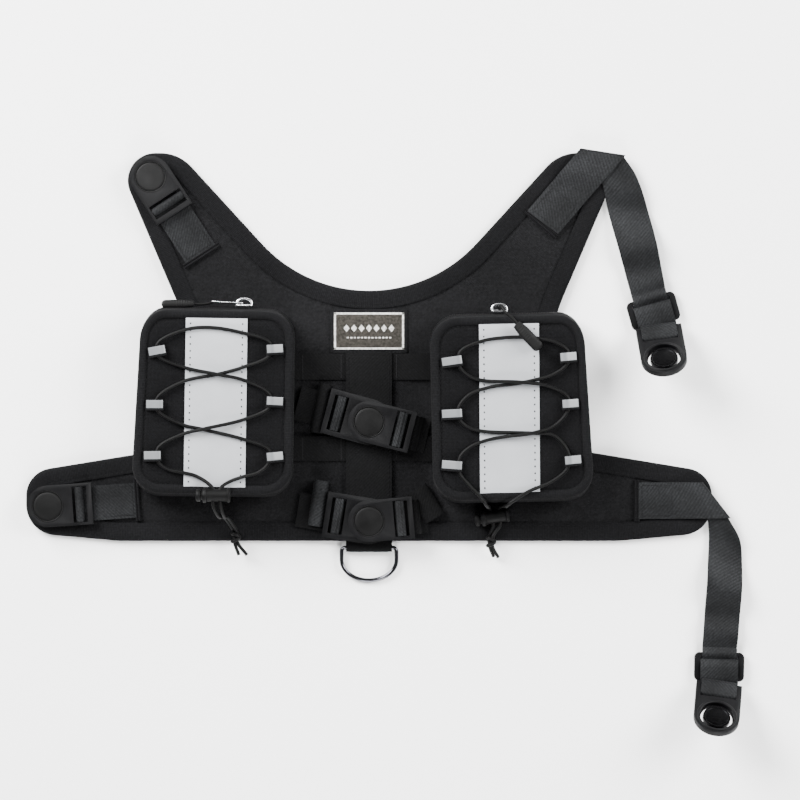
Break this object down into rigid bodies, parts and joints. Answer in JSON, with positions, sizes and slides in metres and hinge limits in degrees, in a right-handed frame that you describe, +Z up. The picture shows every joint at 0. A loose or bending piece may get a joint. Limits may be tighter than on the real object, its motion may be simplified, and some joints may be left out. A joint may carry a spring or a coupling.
{
  "type": "dog harness vest",
  "caption": "Padded dog harness vest laid open: neck and belly straps with round magnetic buckles, spine webbing with a leash ring, and zipped saddle pouches with elastic lacing.",
  "frame": {"origin": "on the underside of the main panel, on the spine line, where the vest rests", "axes": "+X across the vest from the wearer's one side to the other, +Y from the hem towards the neck, +Z up, away from the wearer"},
  "size_m": [0.5173, 0.4201, 0.0448],
  "materials": {
    "pack_fabric": "woven polyester, matt",
    "binding_tape": "ribbed tape, matt",
    "strap_webbing": "woven nylon, slight sheen",
    "label_weave": "woven, matt",
    "dark_chrome": "dark polished plating",
    "magnet_plate": "plain plated disc",
    "zip_metal": "bright",
    "grip_rubber": "moulded, matt",
    "zip_tape": "knitted tape with coil",
    "reflective_film": "silver grey, finely grained",
    "elastic_cord": "braided sleeve",
    "loop_webbing": "thin webbing",
    "moulded_plastic": "fine spark texture"
  },
  "bodies": {
    "root": {"vest_shell": "pack_fabric", "edge_binding": "binding_tape", "spine_webbing": "strap_webbing", "attachment_webbing_upper": "strap_webbing", "attachment_webbing_lower": "strap_webbing", "woven_label": "label_weave", "neck_anchor_patch": "strap_webbing", "belly_anchor_patch": "strap_webbing", "neck_strap_sewn_run": "strap_webbing", "belly_strap_sewn_run": "strap_webbing", "upper_seat_strap": "strap_webbing", "upper_cap_strap": "strap_webbing", "lower_seat_strap": "strap_webbing", "lower_cap_strap": "strap_webbing", "left_pouch_back": "pack_fabric", "right_pouch_back": "pack_fabric"},
    "leash_ring_body": {"leash_ring": "dark_chrome"},
    "neck_cap": {"neck_cap_loop": "strap_webbing", "neck_cap_frame": "moulded_plastic", "neck_cap_disc": "moulded_plastic"},
    "belly_cap": {"belly_cap_loop": "strap_webbing", "belly_cap_frame": "moulded_plastic", "belly_cap_disc": "moulded_plastic"},
    "neck_strap": {"neck_strap_hanging_run": "strap_webbing"},
    "neck_glide": {"neck_tri_glide": "moulded_plastic"},
    "neck_seat": {"neck_seat_loop": "strap_webbing", "neck_seat_frame": "moulded_plastic", "neck_seat_magnet": "magnet_plate"},
    "belly_strap": {"belly_strap_hanging_run": "strap_webbing"},
    "belly_glide": {"belly_tri_glide": "moulded_plastic"},
    "belly_seat": {"belly_seat_loop": "strap_webbing", "belly_seat_frame": "moulded_plastic", "belly_seat_magnet": "magnet_plate"},
    "upper_seat": {"upper_seat_frame": "moulded_plastic"},
    "upper_cap": {"upper_cap_frame": "moulded_plastic", "upper_cap_disc": "moulded_plastic"},
    "lower_seat": {"lower_seat_frame": "moulded_plastic"},
    "lower_cap": {"lower_cap_frame": "moulded_plastic", "lower_cap_disc": "moulded_plastic"},
    "left_pouch_lid": {"left_pouch_front": "pack_fabric", "left_zip_tape": "zip_tape", "left_reflective_panel": "reflective_film", "left_loops_outer": "loop_webbing", "left_loops_inner": "loop_webbing", "left_lace": "elastic_cord"},
    "left_slider": {"left_zip_slider": "zip_metal"},
    "left_pull": {"left_zip_pull": "grip_rubber"},
    "left_lock": {"left_lock_barrel": "moulded_plastic"},
    "left_plunger": {"left_lock_plunger": "moulded_plastic"},
    "right_pouch_lid": {"right_pouch_front": "pack_fabric", "right_zip_tape": "zip_tape", "right_reflective_panel": "reflective_film", "right_loops_outer": "loop_webbing", "right_loops_inner": "loop_webbing", "right_lace": "elastic_cord"},
    "right_slider": {"right_zip_slider": "zip_metal"},
    "right_pull": {"right_zip_pull": "grip_rubber"},
    "right_lock": {"right_lock_barrel": "moulded_plastic"},
    "right_plunger": {"right_lock_plunger": "moulded_plastic"}
  },
  "joints": [
    {"name": "leash_ring_swing", "type": "hinge", "parent": "root", "child": "leash_ring_body", "pos_m": [0, -0.0768, 0.00425], "axis": [-1, 0, 0], "range_deg": [0, 95]},
    {"name": "neck_cap_lift", "type": "hinge", "parent": "root", "child": "neck_cap", "pos_m": [-0.13943, 0.16279, 0.0072], "axis": [0.8387, 0.5446, 0], "range_deg": [0, 80]},
    {"name": "belly_cap_lift", "type": "hinge", "parent": "root", "child": "belly_cap", "pos_m": [-0.19863, -0.04474, 0.0072], "axis": [-0.0698, 0.9976, 0], "range_deg": [0, 80]},
    {"name": "neck_strap_lift", "type": "hinge", "parent": "root", "child": "neck_strap", "pos_m": [0.1841, 0.168, 0.0032], "axis": [-0.9634, -0.268, 0], "range_deg": [0, 90]},
    {"name": "neck_glide_slide", "type": "slide", "parent": "neck_strap", "child": "neck_glide", "axis": [-0.268, 0.9634, 0], "range_m": [0, 0.05]},
    {"name": "neck_seat_tilt", "type": "hinge", "parent": "neck_strap", "child": "neck_seat", "pos_m": [0.2083, 0.081, 0.0025], "axis": [-0.9913, -0.1313, 0], "range_deg": [-45, 44]},
    {"name": "belly_strap_lift", "type": "hinge", "parent": "root", "child": "belly_strap", "pos_m": [0.254, -0.07, 0.0032], "axis": [-0.9998, 0.0199, 0], "range_deg": [0, 90]},
    {"name": "belly_glide_slide", "type": "slide", "parent": "belly_strap", "child": "belly_glide", "axis": [0.0199, 0.9998, 0], "range_m": [0, 0.05]},
    {"name": "belly_seat_tilt", "type": "hinge", "parent": "belly_strap", "child": "belly_seat", "pos_m": [0.2519, -0.1757, 0.0025], "axis": [-0.9899, 0.1416, 0], "range_deg": [-45, 44]},
    {"name": "upper_seat_swivel", "type": "hinge", "parent": "root", "child": "upper_seat", "pos_m": [0, 0.0138, 0.0097], "axis": [0, 0, 1], "range_deg": [-8, 8], "deforming": ["upper_seat_strap"]},
    {"name": "upper_cap_lift", "type": "hinge", "parent": "root", "child": "upper_cap", "pos_m": [0.0325, 0.0057, 0.0132], "axis": [0.2419, 0.9703, 0], "range_deg": [0, 75], "deforming": ["upper_cap_strap"]},
    {"name": "lower_seat_swivel", "type": "hinge", "parent": "root", "child": "lower_seat", "pos_m": [0, -0.0575, 0.0097], "axis": [0, 0, 1], "range_deg": [-8, 8], "deforming": ["lower_seat_strap"]},
    {"name": "lower_cap_lift", "type": "hinge", "parent": "root", "child": "lower_cap", "pos_m": [0.03337, -0.05458, 0.0132], "axis": [-0.0872, 0.9962, 0], "range_deg": [0, 75], "deforming": ["lower_cap_strap"]},
    {"name": "left_pouch_open", "type": "hinge", "parent": "root", "child": "left_pouch_lid", "pos_m": [-0.11194, -0.03949, 0.018], "axis": [0.9999, -0.014, 0], "range_deg": [0, 50], "deforming": ["left_lace"]},
    {"name": "left_slider_run", "type": "slide", "parent": "left_pouch_lid", "child": "left_slider", "axis": [0.9999, -0.014, 0], "range_m": [-0.052, 0.01]},
    {"name": "left_pull_swing", "type": "hinge", "parent": "left_slider", "child": "left_pull", "pos_m": [-0.09, 0.1012, 0.018], "axis": [0, 0, -1], "range_deg": [0, 165]},
    {"name": "left_lock_slide", "type": "slide", "parent": "left_pouch_lid", "child": "left_lock", "axis": [0, -1, 0], "range_m": [0, 0.012], "deforming": ["left_lace"]},
    {"name": "left_plunger_press", "type": "slide", "parent": "left_lock", "child": "left_plunger", "axis": [1, 0, 0], "range_m": [0, 0.003], "stiffness_N_per_m": 200},
    {"name": "right_pouch_open", "type": "hinge", "parent": "root", "child": "right_pouch_lid", "pos_m": [0.10341, -0.04349, 0.018], "axis": [0.9998, 0.0209, 0], "range_deg": [0, 50], "deforming": ["right_lace"]},
    {"name": "right_slider_run", "type": "slide", "parent": "right_pouch_lid", "child": "right_slider", "axis": [0.9998, 0.0209, 0], "range_m": [-0.023, 0.038]},
    {"name": "right_pull_swing", "type": "hinge", "parent": "right_slider", "child": "right_pull", "pos_m": [0.0935, 0.0972, 0.018], "axis": [-1, 0, 0], "range_deg": [0, 100]},
    {"name": "right_lock_slide", "type": "slide", "parent": "root", "child": "right_lock", "axis": [0.1736, -0.9848, 0], "range_m": [0, 0.007], "deforming": ["right_lace"]},
    {"name": "right_plunger_press", "type": "slide", "parent": "right_lock", "child": "right_plunger", "axis": [0.9848, 0.1736, 0], "range_m": [0, 0.003], "stiffness_N_per_m": 200}
  ]
}
